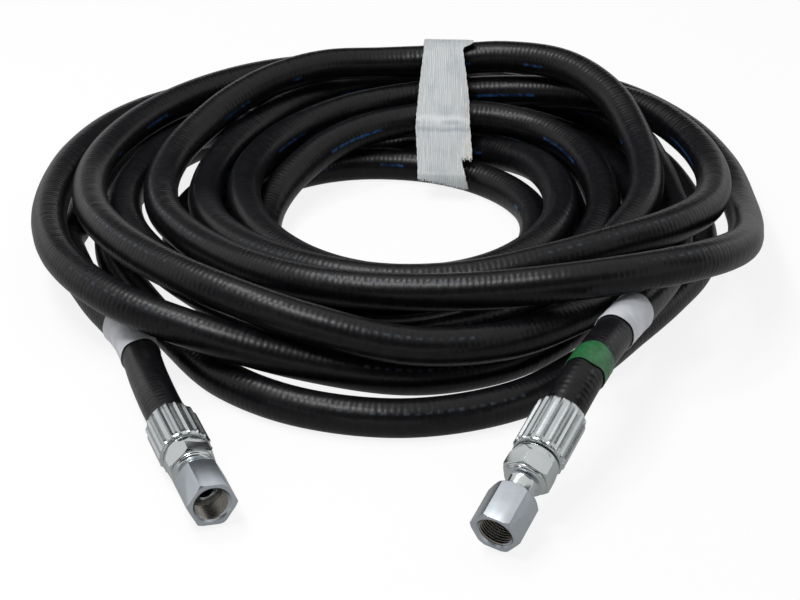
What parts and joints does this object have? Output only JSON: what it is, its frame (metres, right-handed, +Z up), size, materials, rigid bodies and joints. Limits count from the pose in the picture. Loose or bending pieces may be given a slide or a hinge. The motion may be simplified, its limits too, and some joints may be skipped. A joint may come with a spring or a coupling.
{
  "type": "hydraulic hose assembly",
  "caption": "Long rubber hydraulic hose in a loose coil, with a crimped steel fitting and a free-turning female swivel nut on each end, held by a tie strap.",
  "frame": {"origin": "middle of the whole part's footprint, on the surface that the coil lies on", "axes": "+Z up, -Y towards the side where both fittings lie, +X towards the right-hand fitting"},
  "size_m": [0.4648, 0.6049, 0.0818],
  "materials": {
    "hose_rubber": "satin black wrapped rubber",
    "inner_rubber": "matt black rubber",
    "braid_wire": "brass-coated steel wire",
    "zinc_ferrule": "bright zinc plate",
    "zinc_stem": "bright zinc plate",
    "zinc_nut": "satin zinc plate",
    "paper": "matt white paper film",
    "green_tape": "semi-gloss dark green tape",
    "strap_film": "translucent white filament tape"
  },
  "bodies": {
    "hose": {"hose_coil": "hose_rubber", "hose_end_left": "hose_rubber", "hose_end_right": "hose_rubber", "tie_strap": "strap_film", "green_band_right": "green_tape", "label_sleeve_left": "paper", "label_sleeve_right": "paper", "inner_tube_left": "inner_rubber", "wire_braid_inner_left": "braid_wire", "wire_braid_outer_left": "braid_wire", "hose_cover_end_left": "hose_rubber", "crimp_ferrule_left": "zinc_ferrule", "stem_left": "zinc_stem", "inner_tube_right": "inner_rubber", "wire_braid_inner_right": "braid_wire", "wire_braid_outer_right": "braid_wire", "hose_cover_end_right": "hose_rubber", "crimp_ferrule_right": "zinc_ferrule", "stem_right": "zinc_stem"},
    "nut_left": {"swivel_nut_left": "zinc_nut"},
    "nut_right": {"swivel_nut_right": "zinc_nut"}
  },
  "joints": [
    {"name": "left_nut_swivel", "type": "hinge", "parent": "hose", "child": "nut_left", "pos_m": [-0.10284, -0.24563, 0.0144], "axis": [0.3511, -0.9362, -0.016], "continuous": true},
    {"name": "right_nut_swivel", "type": "hinge", "parent": "hose", "child": "nut_right", "pos_m": [0.06031, -0.27282, 0.02133], "axis": [-0.4382, -0.8504, -0.2911], "continuous": true}
  ]
}
